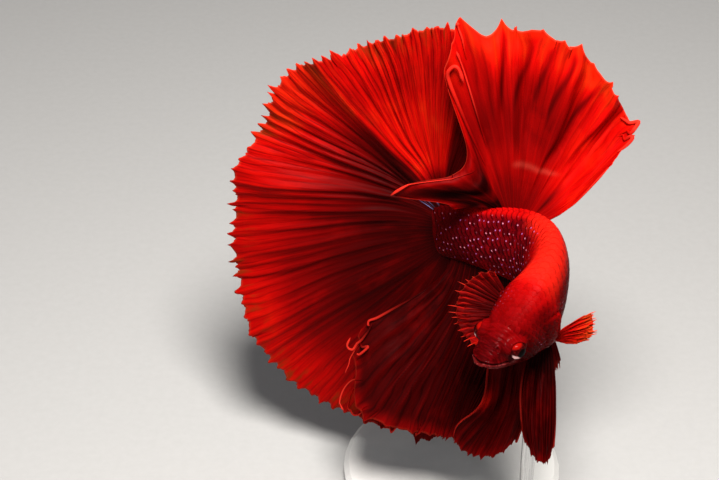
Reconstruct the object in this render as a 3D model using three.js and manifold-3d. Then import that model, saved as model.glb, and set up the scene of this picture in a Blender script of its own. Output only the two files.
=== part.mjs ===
// A male betta fish (Betta splendens, long-finned red form) as a still, life-size model on a plain stand.
// The fish turns in a tight C to its right, fins spread, and a thin rod holds it over a flat round base.
// Millimetres, +Z up. The origin is the centre of the base's underside, and -Y is the side the head faces.

import * as THREE from "three";
import { mergeVertices } from "three/addons/utils/BufferGeometryUtils.js";
import Module from "manifold-3d";

const wasm = await Module();
wasm.setup();

// ---------------------------------------------------------------- driving sizes

const BODY_LENGTH = 45; // snout to tail base
const SNOUT = new THREE.Vector3(1.5, -28, 47); // the snout's tip, held above the base
const GAP = 0.3; // thin cut between neighbouring pieces
const FIN_THICKNESS = 0.56;

// The body's turn: headings are degrees from -Y towards +X, pitch is nose up, roll leans the back left.
const TURN = { head: -41, tail: 52, from: 6, to: 38 };
const PITCH = { head: -15, tail: 15, from: 8, to: 34 };
const ROLL = { head: 4, tail: 9, from: 8, to: 30 };

// Body stations: distance from the snout, height above and below the axis, half width, fullness.
const STATIONS = [
  [0.0, 1.3, -0.3, 0.9, 2.2],
  [0.8, 2.0, 0.9, 1.8, 2.3],
  [2.5, 2.9, 2.5, 2.55, 2.4],
  [5.0, 3.85, 4.2, 3.15, 2.5],
  [8.0, 4.8, 5.5, 3.95, 2.5],
  [11.5, 5.6, 6.5, 4.45, 2.4],
  [14.5, 6.1, 7.0, 4.05, 2.2],
  [19.0, 6.4, 7.3, 3.3, 2.1],
  [25.0, 6.4, 7.0, 2.75, 2.0],
  [32.0, 5.7, 6.1, 2.4, 2.0],
  [39.0, 4.8, 5.0, 1.8, 2.0],
  [45.0, 4.3, 4.5, 0.95, 2.0],
];

const CUTS = { head: 13.8, trunk: 25, peduncle: 35.2 }; // where the body is parted, along its length
const RING = 24; // points round a body section

const EYE = { at: 4.9, side: 2.85, height: 1.1, radius: 1.4 };
const GILL = { from: 8.4, to: 13.2, low: -66, high: 34, thickness: 0.8, flare: 0.8, taper: 0.75 };
const JAW = { to: 3.9, front: 1.35, back: -0.7 }; // the mouth slit's length, and its height at each end

const DORSAL = { from: 24.6, to: 34.5, lean: 13, columns: 44, rows: 5, spike: 1.3, pleat: 0.4 };
const ANAL = { from: 20, to: 43.4, frontLean: 13, lean: 25, columns: 42, rows: 5, spike: 1.0, pleat: 0.32 };
const CAUDAL = { from: -90, to: 100, half: 4.0, lean: 8, columns: 88, rows: 5, spike: 1.2, pleat: 0.42 };
const PELVIC = { at: 14.4, apart: 3, wide: 1.6, columns: 8, rows: 7, spike: 0.9, pleat: 0.2, bow: 1 };
const PECTORAL = { at: 14.8, clear: 0.65, columns: 16, rows: 3, spike: 0.8, pleat: 0.16, bow: 1 };

const BASE = { radius: 18, height: 3, bevel: 0.8 };
const ROD = { radius: 1.1, at: 17.3 };

// ---------------------------------------------------------------- small helpers

const rad = THREE.MathUtils.degToRad;
const lerp = THREE.MathUtils.lerp;

function ease(x, from, to) {
  return THREE.MathUtils.smootherstep(x, from, to);
}

// A smooth value read from a short table of rows, each starting with its place along the table.
function smooth(table, x, column) {
  const last = table.length - 1;
  let i = 0;
  while (i < last - 1 && x > table[i + 1][0]) i += 1;
  const slope = (k) => {
    const a = table[Math.max(k - 1, 0)];
    const b = table[Math.min(k + 1, last)];
    return (b[column] - a[column]) / (b[0] - a[0]);
  };
  const span = table[i + 1][0] - table[i][0];
  const t = THREE.MathUtils.clamp((x - table[i][0]) / span, 0, 1);
  const rise = table[i][column] * (1 + 2 * t) * (1 - t) ** 2 + table[i + 1][column] * t * t * (3 - 2 * t);
  return rise + span * (slope(i) * t * (1 - t) ** 2 - slope(i + 1) * t * t * (1 - t));
}

function bump(x, centre, width) {
  return Math.exp(-(((x - centre) / width) ** 2));
}

function mix(...pairs) {
  const out = new THREE.Vector3();
  for (const [vector, amount] of pairs) out.addScaledVector(vector, amount);
  return out;
}

const X = new THREE.Vector3(1, 0, 0);
const Y = new THREE.Vector3(0, 1, 0);
const Z = new THREE.Vector3(0, 0, 1);

// ---------------------------------------------------------------- the body's axis and sections

function axes(s) {
  const yaw = rad(lerp(TURN.head, TURN.tail, ease(s, TURN.from, TURN.to)));
  const pitch = rad(lerp(PITCH.head, PITCH.tail, ease(s, PITCH.from, PITCH.to)));
  const roll = rad(lerp(ROLL.head, ROLL.tail, ease(s, ROLL.from, ROLL.to)));
  const heading = mix([X, Math.sin(yaw)], [Y, -Math.cos(yaw)]);
  const fore = mix([heading, Math.cos(pitch)], [Z, Math.sin(pitch)]);
  const level = new THREE.Vector3().crossVectors(Z, fore).normalize();
  const upright = new THREE.Vector3().crossVectors(fore, level);
  const up = mix([upright, Math.cos(roll)], [level, Math.sin(roll)]);
  const left = new THREE.Vector3().crossVectors(up, fore);
  return { fore, left, up };
}

const AXIS_STEP = 0.25;
const axisPoints = [SNOUT.clone()];
for (let s = AXIS_STEP / 2; s < BODY_LENGTH + 1; s += AXIS_STEP) {
  axisPoints.push(mix([axisPoints.at(-1), 1], [axes(s).fore, -AXIS_STEP]));
}

function frameAt(s) {
  const i = Math.min(Math.floor(s / AXIS_STEP), axisPoints.length - 2);
  const centre = axisPoints[i].clone().lerp(axisPoints[i + 1], s / AXIS_STEP - i);
  return { centre, ...axes(s) };
}

function place(frame, fore, left, up) {
  return mix([frame.centre, 1], [frame.fore, fore], [frame.left, left], [frame.up, up]);
}

// A point of the body's surface, moved out by a distance. Angle 0 is the fish's left, 90 its back.
function bodyPoint(s, angle, out = 0) {
  const [top, bottom, width, fullness] = [1, 2, 3, 4].map((column) => smooth(STATIONS, s, column));
  const power = 2 / fullness;
  const c = Math.cos(rad(angle));
  const q = Math.sin(rad(angle));
  const side = (width + out) * Math.sign(c) * Math.abs(c) ** power;
  const rise = ((top + bottom) / 2 + out) * Math.sign(q) * Math.abs(q) ** power;
  return place(frameAt(s), 0, side, (top - bottom) / 2 + rise);
}

// ---------------------------------------------------------------- closed meshes

function geometryOf(points, faces) {
  const geometry = new THREE.BufferGeometry();
  const numbers = points.flatMap((p) => [p.x, p.y, p.z]);
  geometry.setAttribute("position", new THREE.Float32BufferAttribute(numbers, 3));
  geometry.setIndex(faces.flat());
  return geometry;
}

// Rings of equal count joined into a closed body, with a flat fan over each end.
function loft(rings) {
  const count = rings[0].length;
  const points = rings.flat();
  const faces = [];
  for (let r = 0; r < rings.length - 1; r += 1) {
    for (let i = 0; i < count; i += 1) {
      const a = r * count + i;
      const b = r * count + ((i + 1) % count);
      faces.push([a, b, a + count], [b, b + count, a + count]);
    }
  }
  for (const [ring, flip] of [[0, true], [rings.length - 1, false]]) {
    const middle = points.length;
    points.push(mix(...rings[ring].map((p) => [p, 1 / count])));
    for (let i = 0; i < count; i += 1) {
      const a = ring * count + i;
      const b = ring * count + ((i + 1) % count);
      faces.push(flip ? [b, a, middle] : [a, b, middle]);
    }
  }
  return geometryOf(points, faces);
}

// Two grids of points, one on each face of a sheet, joined round their edges into a closed body.
function sheetBetween(front, back) {
  const rows = front.length;
  const columns = front[0].length;
  const points = [...front.flat(), ...back.flat()];
  const at = (side, r, c) => (side * rows + r) * columns + c;
  const faces = [];
  for (let r = 0; r < rows - 1; r += 1) {
    for (let c = 0; c < columns - 1; c += 1) {
      const [a, b, d, e] = [at(0, r, c), at(0, r, c + 1), at(0, r + 1, c), at(0, r + 1, c + 1)];
      const under = rows * columns;
      faces.push([a, b, d], [b, e, d]);
      faces.push([a + under, d + under, b + under], [b + under, d + under, e + under]);
    }
  }
  const rim = [];
  for (let c = 0; c < columns - 1; c += 1) rim.push([0, c]);
  for (let r = 0; r < rows - 1; r += 1) rim.push([r, columns - 1]);
  for (let c = columns - 1; c > 0; c -= 1) rim.push([rows - 1, c]);
  for (let r = rows - 1; r > 0; r -= 1) rim.push([r, 0]);
  rim.forEach(([r, c], i) => {
    const [nextR, nextC] = rim[(i + 1) % rim.length];
    faces.push([at(0, r, c), at(1, r, c), at(0, nextR, nextC)]);
    faces.push([at(0, nextR, nextC), at(1, r, c), at(1, nextR, nextC)]);
  });
  return outward(geometryOf(points, faces));
}

function solidOf(geometry) {
  const plain = geometry.clone();
  plain.deleteAttribute("normal");
  plain.deleteAttribute("uv");
  const merged = mergeVertices(plain);
  return new wasm.Manifold(new wasm.Mesh({
    numProp: 3,
    vertProperties: new Float32Array(merged.attributes.position.array),
    triVerts: new Uint32Array(merged.index.array),
  }));
}

function geometryFrom(solid) {
  const mesh = solid.getMesh();
  const geometry = new THREE.BufferGeometry();
  geometry.setAttribute("position", new THREE.BufferAttribute(mesh.vertProperties, 3));
  geometry.setIndex(new THREE.BufferAttribute(mesh.triVerts, 1));
  return geometry;
}

// Faces are turned to point out of the body that they close.
function outward(geometry) {
  const p = geometry.attributes.position;
  const index = geometry.index.array;
  const [a, b, c] = [new THREE.Vector3(), new THREE.Vector3(), new THREE.Vector3()];
  let volume = 0;
  for (let i = 0; i < index.length; i += 3) {
    a.fromBufferAttribute(p, index[i]).sub(SNOUT);
    b.fromBufferAttribute(p, index[i + 1]).sub(SNOUT);
    c.fromBufferAttribute(p, index[i + 2]).sub(SNOUT);
    volume += a.dot(b.cross(c));
  }
  if (volume < 0) index.reverse();
  return geometry;
}

// ---------------------------------------------------------------- the body's pieces

function bodyRing(s) {
  return Array.from({ length: RING }, (_, i) => bodyPoint(s, (360 * i) / RING));
}

function bodyLength(from, to, steps) {
  return outward(loft(Array.from({ length: steps + 1 }, (_, i) => bodyRing(lerp(from, to, i / steps)))));
}

// A curved plate on the side of the head: side is 1 on the fish's left and -1 on its right.
function gillPlate(side, inner, outer, margin) {
  const steps = 6;
  const middle = (GILL.low + GILL.high) / 2;
  const faceOf = (height) => Array.from({ length: steps + 1 }, (_, i) => {
    const along = i / steps;
    const s = lerp(GILL.from - margin, GILL.to + margin, along);
    const edge = Math.sqrt(1 - (GILL.taper * along) ** 2);
    const half = ((GILL.high - GILL.low) / 2 + margin * 8) * edge;
    return Array.from({ length: steps + 1 }, (_, k) => {
      const angle = middle + half * (1 - (2 * k) / steps);
      return bodyPoint(s, side > 0 ? angle : 180 - angle, height(GILL.flare * along * along));
    });
  });
  return sheetBetween(faceOf(outer), faceOf(inner));
}

function gillCover(side) {
  return gillPlate(side, (lift) => lift - GILL.thickness, (lift) => lift, 0);
}

function gillPocket(side) {
  return gillPlate(side, () => -GILL.thickness - GAP, () => GILL.flare + 2, GAP);
}

function eyeCentre(side) {
  return place(frameAt(EYE.at), 0, side * EYE.side, EYE.height);
}

function eyeBall(side, radius) {
  const ball = new THREE.SphereGeometry(radius, 14, 9);
  return ball.translate(...eyeCentre(side).toArray());
}

// The lower jaw lies under a slanting mouth slit; the same wedge, grown by the gap, is cut from the head.
function jawWedge(margin) {
  const slit = (s) => lerp(JAW.front, JAW.back, s / JAW.to);
  const rings = [];
  for (const s of [-0.6, 0, 1, 2, 3, JAW.to + margin]) {
    const frame = frameAt(Math.max(s, 0));
    const ahead = Math.min(s, 0);
    const roof = slit(Math.max(s, 0)) + margin;
    const floor = -6 - margin;
    const side = 5 + margin;
    const corners = [[side, roof], [-side, roof], [-side, floor], [side, floor]];
    rings.push(corners.map(([l, u]) => place(frame, -ahead, l, u)));
  }
  return outward(loft(rings));
}

function headPieces() {
  const whole = solidOf(bodyLength(0, CUTS.head, 14));
  let head = whole.subtract(solidOf(jawWedge(GAP)));
  for (const side of [1, -1]) {
    head = head.subtract(solidOf(gillPocket(side))).subtract(solidOf(eyeBall(side, EYE.radius + GAP)));
  }
  return { head: geometryFrom(head), jaw: geometryFrom(whole.intersect(solidOf(jawWedge(0)))) };
}

// ---------------------------------------------------------------- the fins

// A point of a fan of rays. Each ray leaves its root one way and bends towards its tip's direction,
// near its root where the bow is 2 and all the way out where it is 1. sway shifts rays sideways on their way.
function fanPoint(fan, t, r, tip = 0) {
  const { bow = 2, sway = () => 0 } = fan;
  const ray = fan.ray(t + sway(t, r));
  const reach = r * ray.length + tip;
  const bend = ray.length * 0.8 * r * (1 - r) ** bow;
  const point = mix([ray.root, 1], [ray.tip, reach], [ray.start, bend], [ray.tip, -bend]);
  return point.addScaledVector(ray.normal, fan.wave(t, r));
}

function fanNormal(fan, t, r) {
  const step = 0.01;
  const across = fanPoint(fan, t + step, r).sub(fanPoint(fan, t - step, r));
  const along = fanPoint(fan, t, r + step).sub(fanPoint(fan, t, Math.max(r - step, 0)));
  return across.cross(along).normalize();
}

// Rays stand on every second column, proud of the web between them, and end in short spikes.
function fanSolid(fan) {
  const faceOf = (side) => Array.from({ length: fan.rows + 1 }, (_, j) => {
    const r = j / fan.rows;
    return Array.from({ length: fan.columns + 1 }, (_, i) => {
      const t = i / fan.columns;
      const ray = i % 2 === 0 ? 1 : -1;
      const tip = r === 1 && ray > 0 ? fan.spike : 0;
      const out = ray * fan.pleat * r + (side * FIN_THICKNESS) / 2;
      return mix([fanPoint(fan, t, r, tip), 1], [fanNormal(fan, t, r), out]);
    });
  });
  return sheetBetween(faceOf(1), faceOf(-1));
}

function leaning(lean) {
  return mix([Y, Math.sin(rad(lean))], [Z, Math.cos(rad(lean))]);
}

// Rays of the dorsal fin: place along its base, angle from upright towards +X, length, how much further
// the ray leans where it leaves the back. The rear rays are short, and then trail behind as a loose point.
const DORSAL_RAYS = [
  [0, 46, 12.2, 42],
  [0.12, 47, 14.6, 28],
  [0.16, 45, 17.9, 22],
  [0.34, 29, 22.6, 6],
  [0.46, 15.7, 25.4, 3],
  [0.55, 5.5, 27.1, 2],
  [0.62, -1.5, 26.8, 1],
  [0.7, -9, 27, 0],
  [0.745, -17, 28.2, -2],
  [0.785, -24, 23.4, -4],
  [0.83, -31, 11, -4],
  [0.88, -54, 9.8, 0],
  [0.94, -79, 16.2, 20],
  [1, -92, 8, 20],
];

const dorsalFan = {
  ...DORSAL,
  ray(t) {
    const s = lerp(DORSAL.from, DORSAL.to, t);
    const frame = frameAt(s);
    const angle = rad(smooth(DORSAL_RAYS, t, 1));
    const startAngle = angle + rad(smooth(DORSAL_RAYS, t, 3));
    const upright = leaning(DORSAL.lean);
    const tip = mix([X, Math.sin(angle)], [upright, Math.cos(angle)]);
    const normal = new THREE.Vector3().crossVectors(X, upright);
    return {
      root: place(frame, 0, 0, smooth(STATIONS, s, 1) + GAP),
      start: mix([frame.up, 0.3], [X, Math.sin(startAngle)], [upright, Math.cos(startAngle)]).normalize(),
      tip,
      length: smooth(DORSAL_RAYS, t, 2),
      normal,
    };
  },
  wave(t, r) {
    const broad = 1.5 * Math.sin(14 * t + 1.2 * r + 0.4) + 0.7 * Math.sin(31 * t - 2 * r);
    return r ** 1.2 * broad * lerp(0.6, 1, ease(t, 0, 0.3));
  },
};

// Rays of the anal fin: place along its base, angle from straight down towards -X, length.
const ANAL_RAYS = [
  [0, 28, 13.2],
  [0.2, 23, 20.2],
  [0.42, 19, 26.5],
  [0.62, 16, 28.9],
  [0.8, 19, 29.1],
  [0.86, 24, 29],
  [0.92, 30, 29.8],
  [1, 43, 22],
];

const analFan = {
  ...ANAL,
  ray(t) {
    const s = lerp(ANAL.from, ANAL.to, t);
    const frame = frameAt(s);
    const angle = rad(smooth(ANAL_RAYS, t, 1));
    const upright = leaning(lerp(ANAL.frontLean, ANAL.lean, t));
    const tip = mix([X, -Math.sin(angle)], [upright, -Math.cos(angle)]);
    return {
      root: place(frame, 0, 0, -smooth(STATIONS, s, 2) - GAP),
      start: mix([frame.up, -0.8], [tip, 0.2]).normalize(),
      tip,
      length: smooth(ANAL_RAYS, t, 2),
      normal: mix([frame.left, -1]),
    };
  },
  wave(t, r) {
    const broad = 1.2 * Math.sin(15 * t + 1.5 * r) + 0.4 * Math.sin(28 * t + 2 * r);
    return r ** 1.2 * broad * lerp(0.2, 1, ease(t, 0.25, 0.8));
  },
};

// Rays of the tail fin, which opens past a half circle: angle above the fin's middle, and length.
const CAUDAL_RAYS = [
  [-90, 34.4],
  [-80, 33.6],
  [-62, 36.8],
  [-48, 37.9],
  [-33, 37.1],
  [-15, 35],
  [0, 33.4],
  [10, 33.1],
  [22, 31.5],
  [34, 32],
  [48, 30.6],
  [64, 29],
  [80, 29.5],
  [92, 30],
  [100, 28.5],
];

const caudalFan = {
  ...CAUDAL,
  ray(t) {
    const degrees = lerp(CAUDAL.from, CAUDAL.to, t);
    const angle = rad(degrees);
    const frame = frameAt(BODY_LENGTH);
    const upright = leaning(CAUDAL.lean).addScaledVector(X, 0.04);
    const middle = new THREE.Vector3(-0.975, 0.2, 0.03);
    const normal = new THREE.Vector3().crossVectors(upright, middle).normalize();
    return {
      root: place(frame, -GAP - Math.cos(angle), 0, CAUDAL.half * Math.sin(angle) - 0.1),
      start: mix([frame.fore, -Math.cos(0.9 * angle)], [frame.up, Math.sin(0.9 * angle)]),
      tip: mix([middle, Math.cos(angle)], [upright, Math.sin(angle)]).normalize(),
      length: smooth(CAUDAL_RAYS, degrees, 1),
      normal,
    };
  },
  wave(t, r) {
    const degrees = lerp(CAUDAL.from, CAUDAL.to, t);
    const fold = 2.2 * ease(degrees, 41, 50) * (1 - ease(degrees, 50, 88));
    const broad = 0.9 * Math.sin(rad(9 * degrees + 60 * r));
    const fine = 0.5 * Math.sin(rad(17 * degrees - 90 * r + 40));
    const cup = -2 * r * Math.cos(rad(degrees));
    return r ** 1.15 * (fold + broad + fine + cup);
  },
};

// A pelvic fin is a long leaf from the belly: angles from straight down towards +X, ray lengths, and how
// much further the rays lean where they start.
function pelvicFan(side, rays, lean, swing = 0) {
  return {
    ...PELVIC,
    sway: (t, r) => swing * (1 - t) * bump(r, 0.6, 0.26),
    ray(t) {
      const frame = frameAt(PELVIC.at);
      const across = (side * PELVIC.apart) / 2 + (t - 0.5) * PELVIC.wide;
      const angle = rad(smooth(rays, t, 1));
      const first = angle + rad(smooth(rays, t, 3));
      const upright = leaning(lean);
      return {
        root: place(frame, 0, across, -smooth(STATIONS, PELVIC.at, 2) - GAP - 0.1),
        start: mix([X, Math.sin(first)], [upright, -Math.cos(first)]),
        tip: mix([X, Math.sin(angle)], [upright, -Math.cos(angle)]),
        length: smooth(rays, t, 2),
        normal: new THREE.Vector3().crossVectors(X, upright),
      };
    },
    wave: (t, r) => r * 0.7 * Math.sin(9 * t + 2 * r + side),
  };
}

// A pectoral fin is a short round fan from behind the gill cover: angles, lengths and first leans again.
function pectoralFan(side, rays, outwards, upwards, rootAngles) {
  return {
    ...PECTORAL,
    ray(t) {
      const angle = rad(smooth(rays, t, 1));
      const rootAngle = lerp(...rootAngles, t);
      const first = angle + rad(smooth(rays, t, 3));
      const normal = new THREE.Vector3().crossVectors(outwards, upwards).normalize();
      return {
        root: bodyPoint(PECTORAL.at, side > 0 ? rootAngle : 180 - rootAngle, PECTORAL.clear),
        start: mix([outwards, Math.cos(first)], [upwards, Math.sin(first)]),
        tip: mix([outwards, Math.cos(angle)], [upwards, Math.sin(angle)]),
        length: smooth(rays, t, 2),
        normal,
      };
    },
    wave: (t, r) => 0.6 * r * r * Math.sin(5 * t),
  };
}

const RIGHT_PELVIC_RAYS = [[0, -30, 20, -6], [0.35, -20, 22.4, -4], [0.7, -12, 21, 4], [1, -4, 17.8, 16]];
const LEFT_PELVIC_RAYS = [[0, -7, 17.8, -22], [0.4, -3, 19.5, -10], [0.75, 0.5, 19.5, 2], [1, 3, 18.4, 8]];
const RIGHT_PECTORAL_RAYS = [
  [0, -40, 8.3, 0],
  [0.3, -12, 10, 0],
  [0.6, 15, 10.1, 0],
  [0.85, 40, 9.1, 0],
  [1, 60, 7.5, 0],
];
const LEFT_PECTORAL_RAYS = [[0, -10, 8.8, -34], [0.5, 4, 9.5, -24], [1, 19, 8.6, -8]];

const rightPectoral = pectoralFan(-1, RIGHT_PECTORAL_RAYS, mix([X, -1]), leaning(30), [-56, -34]);
const leftPectoral = pectoralFan(1, LEFT_PECTORAL_RAYS, mix([X, 0.97], [Y, 0.1]), Z, [-66, -46]);

// ---------------------------------------------------------------- the stand

function standBase() {
  const { radius, height, bevel } = BASE;
  const inner = radius - bevel;
  const upper = height - bevel;
  const profile = [[0, 0], [inner, 0], [radius, bevel], [radius, upper], [inner, height], [0, height]];
  return new THREE.LatheGeometry(profile.map(([r, z]) => new THREE.Vector2(r, z)), 36).rotateX(Math.PI / 2);
}

function standRod() {
  const belly = place(frameAt(ROD.at), 0, 0, -smooth(STATIONS, ROD.at, 2) - GAP);
  const bottom = BASE.height + GAP;
  const long = belly.z - bottom;
  return new THREE.CylinderGeometry(ROD.radius, ROD.radius, long, 20)
    .rotateX(Math.PI / 2)
    .translate(belly.x, belly.y, bottom + long / 2);
}

// ---------------------------------------------------------------- the model

const { head, jaw } = headPieces();
const red = { color: 0xc4170c, roughness: 0.42, metalness: 0 };
const fin = { color: 0xc21208, roughness: 0.5, metalness: 0 };
const eye = { color: 0x1c0a08, roughness: 0.1, metalness: 0 };
const model = new THREE.Group();

function add(name, geometry, look) {
  const mesh = new THREE.Mesh(geometry, new THREE.MeshStandardMaterial(look));
  mesh.name = name;
  model.add(mesh);
}

add("head", head, red);
add("lower_jaw", jaw, red);
add("eye_left", eyeBall(1, EYE.radius), eye);
add("eye_right", eyeBall(-1, EYE.radius), eye);
add("gill_cover_left", gillCover(1), red);
add("gill_cover_right", gillCover(-1), red);
add("trunk_front", bodyLength(CUTS.head + GAP, CUTS.trunk, 9), red);
add("trunk_rear", bodyLength(CUTS.trunk + GAP, CUTS.peduncle, 9), red);
add("peduncle", bodyLength(CUTS.peduncle + GAP, BODY_LENGTH, 7), red);
add("dorsal_fin", fanSolid(dorsalFan), fin);
add("anal_fin", fanSolid(analFan), fin);
add("caudal_fin", fanSolid(caudalFan), fin);
add("pelvic_fin_right", fanSolid(pelvicFan(-1, RIGHT_PELVIC_RAYS, 16, 0.26)), fin);
add("pelvic_fin_left", fanSolid(pelvicFan(1, LEFT_PELVIC_RAYS, 36)), fin);
add("pectoral_fin_right", fanSolid(rightPectoral), fin);
add("pectoral_fin_left", fanSolid(leftPectoral), fin);
add("stand_base", standBase(), { color: 0xe6e2da, roughness: 0.5, metalness: 0 });
add("stand_rod", standRod(), { color: 0xb8bcc0, roughness: 0.25, metalness: 1 });

export default model;
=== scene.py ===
"""A red male betta fish as a still, life-size display model, with its stand, light and camera.

The fish turns to its right in a tight curve. Sizes are millimetres and degrees, as in the solids, and
metres only where a mesh is made. Every random draw comes from a seeded table, so each run gives the same
model.
"""

import math

import bpy
import numpy as np
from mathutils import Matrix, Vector


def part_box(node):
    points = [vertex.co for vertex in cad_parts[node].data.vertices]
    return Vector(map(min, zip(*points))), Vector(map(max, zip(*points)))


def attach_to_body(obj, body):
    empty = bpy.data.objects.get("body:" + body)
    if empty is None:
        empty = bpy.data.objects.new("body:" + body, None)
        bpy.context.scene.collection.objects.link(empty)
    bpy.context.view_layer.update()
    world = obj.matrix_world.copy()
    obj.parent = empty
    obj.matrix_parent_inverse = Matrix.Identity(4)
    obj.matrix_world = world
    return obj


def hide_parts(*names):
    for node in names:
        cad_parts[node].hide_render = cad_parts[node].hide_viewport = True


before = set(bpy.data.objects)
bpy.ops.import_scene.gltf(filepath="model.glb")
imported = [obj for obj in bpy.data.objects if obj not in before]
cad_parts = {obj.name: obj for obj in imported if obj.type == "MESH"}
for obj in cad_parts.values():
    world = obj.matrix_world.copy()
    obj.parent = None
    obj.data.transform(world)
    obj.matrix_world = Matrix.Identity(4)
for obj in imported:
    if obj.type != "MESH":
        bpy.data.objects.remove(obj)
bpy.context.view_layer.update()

# ---------------- driving sizes

MM = 0.001
stand_low, stand_high = (np.array(corner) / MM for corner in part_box("stand_base"))
STAND = np.array([(stand_low[0] + stand_high[0]) / 2, (stand_low[1] + stand_high[1]) / 2, stand_low[2]])
SNOUT = STAND + [1.5, -28, 47]
BODY_LENGTH = 45
SKIN_LENGTH = 47.4  # the skin thins out over the root of the tail fin
COAT = 0.2  # how far the skin lies inside the solids, which is the depth of the scales on it

TURN = {"head": -41, "tail": 52, "start": 6, "end": 38}
PITCH = {"head": -15, "tail": 15, "start": 8, "end": 34}
ROLL = {"head": 4, "tail": 9, "start": 8, "end": 30}

# Distance from the snout, height above and below the axis, half width, fullness of the section.
STATIONS = [
    (0.0, 1.3, -0.3, 0.9, 2.2),
    (0.8, 2.0, 0.9, 1.8, 2.3),
    (2.5, 2.9, 2.5, 2.55, 2.4),
    (5.0, 3.85, 4.2, 3.15, 2.5),
    (8.0, 4.8, 5.5, 3.95, 2.5),
    (11.5, 5.6, 6.5, 4.45, 2.4),
    (14.5, 6.1, 7.0, 4.05, 2.2),
    (19.0, 6.4, 7.3, 3.3, 2.1),
    (25.0, 6.4, 7.0, 2.75, 2.0),
    (32.0, 5.7, 6.1, 2.4, 2.0),
    (39.0, 4.8, 5.0, 1.8, 2.0),
    (45.0, 4.3, 4.5, 0.95, 2.0),
    (47.4, 4.3, 4.5, 0.03, 2.0),
]
EYE = {"at": 4.9, "side": 2.85, "height": 1.1, "radius": 1.4}
GILL = {"start": 8.4, "end": 13.2, "low": -66, "high": 34}
MOUTH = {"to": 3.9, "front": 1.35, "back": -0.7}  # the slit's length, and its height at each end

DORSAL = {"start": 24.6, "end": 34.5, "lean": 13}
ANAL = {"start": 20, "end": 43.4, "front_lean": 13, "lean": 25}
CAUDAL = {"low": -90, "high": 100, "half": 4.0, "lean": 8}
PELVIC = {"at": 14.4, "apart": 3, "wide": 1.6}

X, Y, Z = np.eye(3)

# ---------------- small helpers


def lerp(a, b, t):
    return a + (b - a) * t


def ease(x, start, end):
    """Rises smoothly from 0 to 1."""
    t = np.clip((np.asarray(x, float) - start) / (end - start), 0, 1)
    return t**3 * (t * (6 * t - 15) + 10)


def fade(x, start, end):
    return 1 - ease(x, start, end)


def between(x, start, full, fading, end):
    return ease(x, start, full) * fade(x, fading, end)


def bump(x, centre, width):
    return np.exp(-(((x - centre) / width) ** 2))


def stacked(*columns):
    return np.stack(np.broadcast_arrays(*columns), -1)


def unit(vectors):
    return vectors / np.maximum(np.linalg.norm(vectors, axis=-1, keepdims=True), 1e-9)


def along(amount, vector):
    """A vector for each amount, made that many times as long."""
    return np.asarray(amount, float)[..., None] * vector


def turned(degrees, zero, quarter):
    """A direction so many degrees from the first one given towards the second."""
    angle = np.radians(degrees)
    return along(np.cos(angle), zero) + along(np.sin(angle), quarter)


def smooth(table, x):
    """Smooth values read from a short table, whose rows start with their place along it."""
    rows = np.array(table, float)
    padded = rows[[0, *range(len(rows)), -1]]
    wide = padded[2:] - padded[:-2]
    slopes = wide / wide[:, :1]
    x = np.asarray(x, float)
    i = np.clip(np.searchsorted(rows[:, 0], x, side="right") - 1, 0, len(rows) - 2)
    span = rows[i + 1, 0] - rows[i, 0]
    t = np.clip((x - rows[i, 0]) / span, 0, 1)
    values = along((1 + 2 * t) * (1 - t) ** 2, rows[i]) + along(t * t * (3 - 2 * t), rows[i + 1])
    values += along(span * t * (1 - t) ** 2, slopes[i]) - along(span * t * t * (1 - t), slopes[i + 1])
    return np.moveaxis(values, -1, 0)[1:]


def ripple(x, seed):
    """Smooth noise along a line, from -1 to 1, with about one turn for each whole number."""
    table = np.random.default_rng(seed).uniform(-1, 1, 256)
    x = np.asarray(x, float) + 64
    whole = np.floor(x).astype(int)
    t = x - whole
    return lerp(table[whole % 256], table[(whole + 1) % 256], t * t * (3 - 2 * t))


# ---------------- the body's axis and surface


def axes(s):
    """Forwards, left and up at a place along the body."""
    yaw, pitch, roll = (
        lerp(bend["head"], bend["tail"], ease(s, bend["start"], bend["end"])) for bend in (TURN, PITCH, ROLL)
    )
    fore = turned(pitch, turned(yaw, -Y, X), Z)
    level = unit(np.cross(Z, fore))
    up = turned(roll, np.cross(fore, level), level)
    return fore, np.cross(up, fore), up


AXIS_STEP = 0.25
axis_places = np.arange(0, SKIN_LENGTH + 1 + AXIS_STEP, AXIS_STEP)
axis_moves = -AXIS_STEP * axes(axis_places[:-1] + AXIS_STEP / 2)[0]
axis_points = SNOUT + np.concatenate([np.zeros((1, 3)), np.cumsum(axis_moves, axis=0)])


def centre_at(s):
    return stacked(*(np.interp(s, axis_places, column) for column in axis_points.T))


def place(s, left, up, fore=0.0):
    """A point given by its place along the body and its distances from the axis there."""
    axis_fore, axis_left, axis_up = axes(s)
    return centre_at(s) + along(fore, axis_fore) + along(left, axis_left) + along(up, axis_up)


def section(s, angle, shrink=1.0):
    """Distances to the left of and above the axis. Angle 0 is the fish's left, 90 its back."""
    top, bottom, width, fullness = smooth(STATIONS, s)
    c, q = np.cos(np.radians(angle)), np.sin(np.radians(angle))
    left = width * shrink * np.sign(c) * np.abs(c) ** (2 / fullness)
    rise = (top + bottom) / 2 * shrink * np.sign(q) * np.abs(q) ** (2 / fullness)
    return left, (top - bottom) / 2 + rise


# Places round the body are also given by their share of the way from back to belly over the skin.
SHARES = np.linspace(0, 1, 65)
share_places = np.linspace(0, SKIN_LENGTH, 191)


def measure_rings():
    angles = np.linspace(90, -90, 181)
    steps = np.hypot(*np.diff(section(*np.meshgrid(share_places, angles, indexing="ij")), axis=2))
    run = np.concatenate([np.zeros((len(steps), 1)), np.cumsum(steps, axis=1)], axis=1)
    return np.array([np.interp(SHARES * row[-1], row, angles) for row in run]), run[:, -1]


share_angles, half_rounds = measure_rings()


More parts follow.
